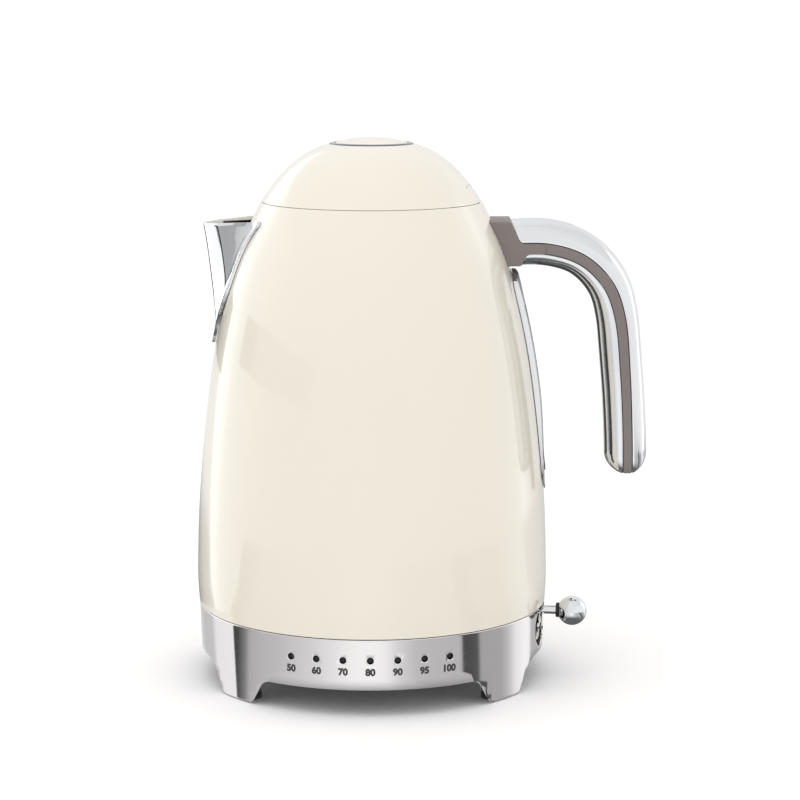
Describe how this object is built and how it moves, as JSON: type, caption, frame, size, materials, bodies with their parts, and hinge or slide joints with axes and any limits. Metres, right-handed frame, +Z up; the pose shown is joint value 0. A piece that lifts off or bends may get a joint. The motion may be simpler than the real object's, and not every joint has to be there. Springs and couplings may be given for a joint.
{
  "type": "electric kettle",
  "caption": "Electric jug kettle: waisted jug with sprung lid button, V spout, open handle and water gauge, on a round base with temperature scale and power lever.",
  "frame": {"origin": "middle of the footprint of the whole kettle and its base, on the worktop under the foot pads", "axes": "+Z up, -X towards the spout, +X towards the handle, -Y towards the temperature scale on the base"},
  "size_m": [0.2272, 0.177, 0.272],
  "materials": {
    "cream_paint": "glossy",
    "chrome": "polished",
    "satin_chrome": "satin",
    "steel": "brushed",
    "taupe_plastic": "fine matt",
    "black_plastic": "matt",
    "clear_plastic": "clear",
    "rubber": "matt",
    "brass": "plain",
    "circuit_board": "lacquered"
  },
  "bodies": {
    "base": {"base_skirt": "satin_chrome", "base_deck": "taupe_plastic", "base_connector": "black_plastic", "base_tray": "black_plastic", "foot_pad_front_right": "rubber", "foot_pad_rear_right": "rubber", "foot_pad_rear_left": "rubber", "foot_pad_front_left": "rubber", "tray_screw_front_right": "steel", "tray_screw_rear_right": "steel", "tray_screw_rear_left": "steel", "tray_screw_front_left": "steel", "control_board": "circuit_board", "relay": "black_plastic", "transformer": "steel", "lamp_light_guide": "clear_plastic", "lamp_board": "circuit_board", "cord_gland": "rubber", "lever_pivot_pin": "steel", "lever_return_spring": "steel", "start_switch": "black_plastic"},
    "jug_coupler": {"jug_connector": "black_plastic"},
    "jug": {"body_shell": "cream_paint", "spout": "chrome", "spout_filter_frame": "black_plastic", "spout_filter_mesh": "steel", "handle_core": "taupe_plastic", "handle_outer_cover": "chrome", "handle_inner_cover": "chrome", "handle_bracket": "steel", "handle_screw_left": "steel", "handle_screw_right": "steel", "water_gauge_bezel": "chrome", "water_gauge_window": "clear_plastic", "water_gauge_gasket": "rubber", "heater_plate": "steel", "heating_element": "steel", "temperature_sensor": "brass", "dry_boil_cutout": "black_plastic", "bottom_housing": "black_plastic", "housing_screw_right": "steel", "housing_screw_rear": "steel", "housing_screw_left": "steel", "lid_hinge_block": "taupe_plastic", "lid_hinge_pin": "steel"},
    "lid": {"lid_shell": "cream_paint", "lid_inner_cover": "steel", "lid_gasket": "rubber", "lid_button_ring": "chrome", "lid_spring_seat": "black_plastic", "lid_hinge_arm": "taupe_plastic", "lid_button_spring": "steel"},
    "lid_button": {"lid_button": "cream_paint"},
    "lid_latch": {"lid_latch": "black_plastic"},
    "lever": {"lever_arm": "taupe_plastic", "lever_stem": "chrome", "lever_ball": "chrome", "lever_shield": "satin_chrome"}
  },
  "joints": [
    {"name": "jug_lift", "type": "slide", "parent": "base", "child": "jug_coupler", "axis": [0, 0, 1], "range_m": [0, 0.08]},
    {"name": "jug_swivel", "type": "hinge", "parent": "jug_coupler", "child": "jug", "pos_m": [-0.02508, 0, 0.05], "axis": [0, 0, 1], "continuous": true},
    {"name": "lid_hinge", "type": "hinge", "parent": "jug", "child": "lid", "pos_m": [0.02482, 0, 0.2444], "axis": [0, 1, 0], "range_deg": [0, 80]},
    {"name": "lid_button_press", "type": "slide", "parent": "lid", "child": "lid_button", "axis": [0, 0, -1], "range_m": [0, 0.003], "stiffness_N_per_m": 600, "springref_m": -0.002, "deforming": ["lid_button_spring"]},
    {"name": "lid_latch_slide", "type": "slide", "parent": "lid", "child": "lid_latch", "axis": [1, 0, 0], "range_m": [0, 0.003]},
    {"name": "power_lever", "type": "hinge", "parent": "base", "child": "lever", "pos_m": [0.02628, -0.00813, 0.035], "axis": [0.1564, 0.9877, 0], "range_deg": [0, 12], "stiffness_Nm_per_rad": 0.5, "springref_deg": -8.59, "deforming": ["lever_return_spring"]}
  ],
  "couplings": [
    {"joint": "lid_latch_slide", "follows": "lid_button_press", "ratio": 1}
  ]
}
